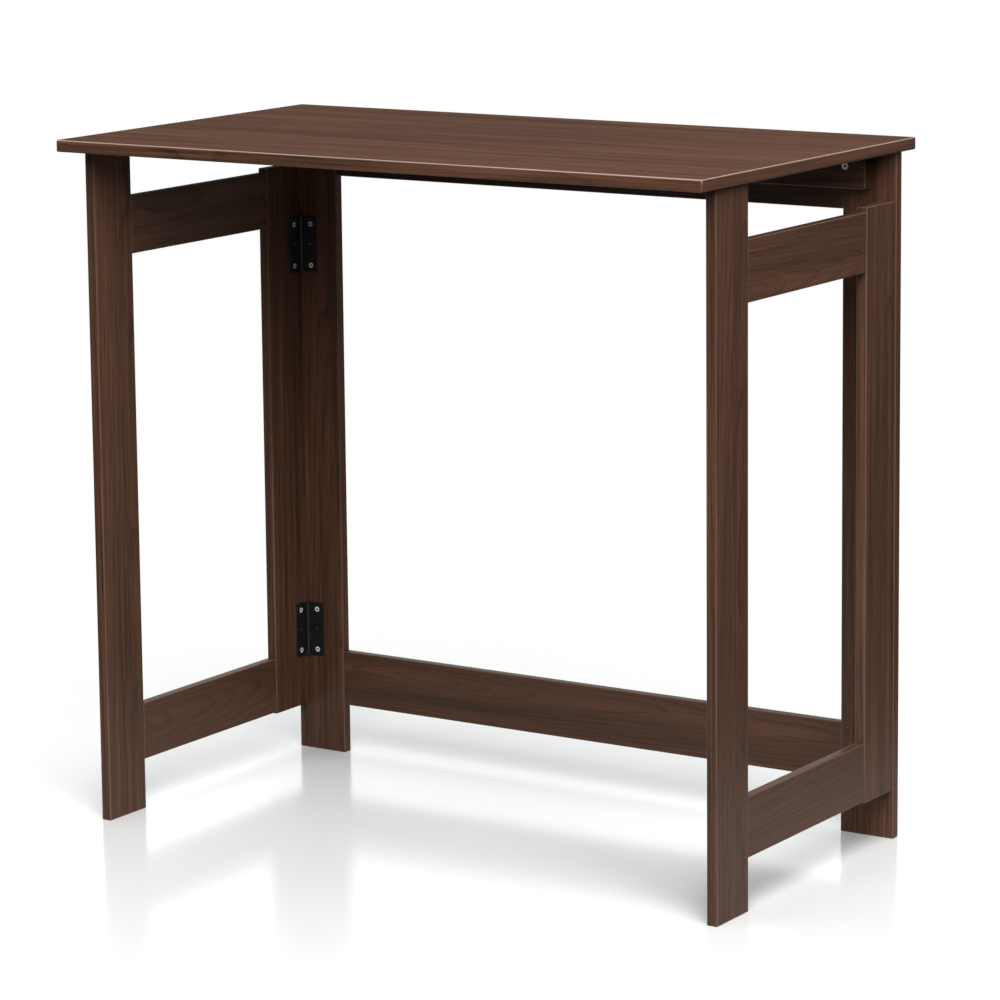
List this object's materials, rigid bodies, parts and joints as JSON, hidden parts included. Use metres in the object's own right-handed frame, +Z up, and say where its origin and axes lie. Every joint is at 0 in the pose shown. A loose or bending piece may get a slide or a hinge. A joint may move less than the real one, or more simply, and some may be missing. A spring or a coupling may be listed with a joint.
{
  "type": "gateleg table",
  "caption": "Small gateleg table: a thin rectangular top on a slim rear frame, with two hinged gates that swing out as front legs and fold flat behind it.",
  "frame": {"origin": "on the floor, under the middle of the tabletop", "axes": "+X to the right of someone who sits at the open front, +Y towards the rear frame, +Z up; the long side of the top runs along X"},
  "size_m": [0.8, 0.45, 0.76],
  "materials": {
    "walnut_board": "satin dark brown wood-grain",
    "black_hinge": "satin black paint",
    "hinge_pin": "plain steel",
    "bright_screw": "bright zinc plate",
    "beech_dowel": "raw"
  },
  "bodies": {
    "frame_and_top": {"tabletop": "walnut_board", "rear_leg_left": "walnut_board", "rear_leg_right": "walnut_board", "rear_rail_upper": "walnut_board", "rear_rail_lower": "walnut_board", "batten_left": "walnut_board", "batten_right": "walnut_board", "rear_frame_dowels": "beech_dowel", "frame_hinge_screws_left": "bright_screw", "batten_screws_left": "bright_screw", "batten_hinge_screws_left": "bright_screw", "top_hinge_screws_left": "bright_screw", "hinge_upper_left_frame_leaf": "black_hinge", "hinge_upper_left_pin": "hinge_pin", "hinge_lower_left_frame_leaf": "black_hinge", "hinge_lower_left_pin": "hinge_pin", "top_hinge_left_batten_leaf": "black_hinge", "top_hinge_left_top_leaf": "black_hinge", "top_hinge_left_pin": "hinge_pin", "frame_hinge_screws_right": "bright_screw", "batten_screws_right": "bright_screw", "batten_hinge_screws_right": "bright_screw", "top_hinge_screws_right": "bright_screw", "hinge_upper_right_frame_leaf": "black_hinge", "hinge_upper_right_pin": "hinge_pin", "hinge_lower_right_frame_leaf": "black_hinge", "hinge_lower_right_pin": "hinge_pin", "top_hinge_right_batten_leaf": "black_hinge", "top_hinge_right_top_leaf": "black_hinge", "top_hinge_right_pin": "hinge_pin"},
    "gate_left": {"front_leg_left": "walnut_board", "gate_stile_left": "walnut_board", "gate_rail_upper_left": "walnut_board", "gate_rail_lower_left": "walnut_board", "gate_dowels_left": "beech_dowel", "gate_hinge_screws_left": "bright_screw", "hinge_upper_left_gate_leaf": "black_hinge", "hinge_lower_left_gate_leaf": "black_hinge"},
    "gate_right": {"front_leg_right": "walnut_board", "gate_stile_right": "walnut_board", "gate_rail_upper_right": "walnut_board", "gate_rail_lower_right": "walnut_board", "gate_dowels_right": "beech_dowel", "gate_hinge_screws_right": "bright_screw", "hinge_upper_right_gate_leaf": "black_hinge", "hinge_lower_right_gate_leaf": "black_hinge"}
  },
  "joints": [
    {"name": "gate_left_swing", "type": "hinge", "parent": "frame_and_top", "child": "gate_left", "pos_m": [-0.3785, 0.1905, 0.368], "axis": [0, 0, 1], "range_deg": [0, 90]},
    {"name": "gate_right_swing", "type": "hinge", "parent": "frame_and_top", "child": "gate_right", "pos_m": [0.3785, 0.1905, 0.368], "axis": [0, 0, 1], "range_deg": [-90, 0]}
  ]
}
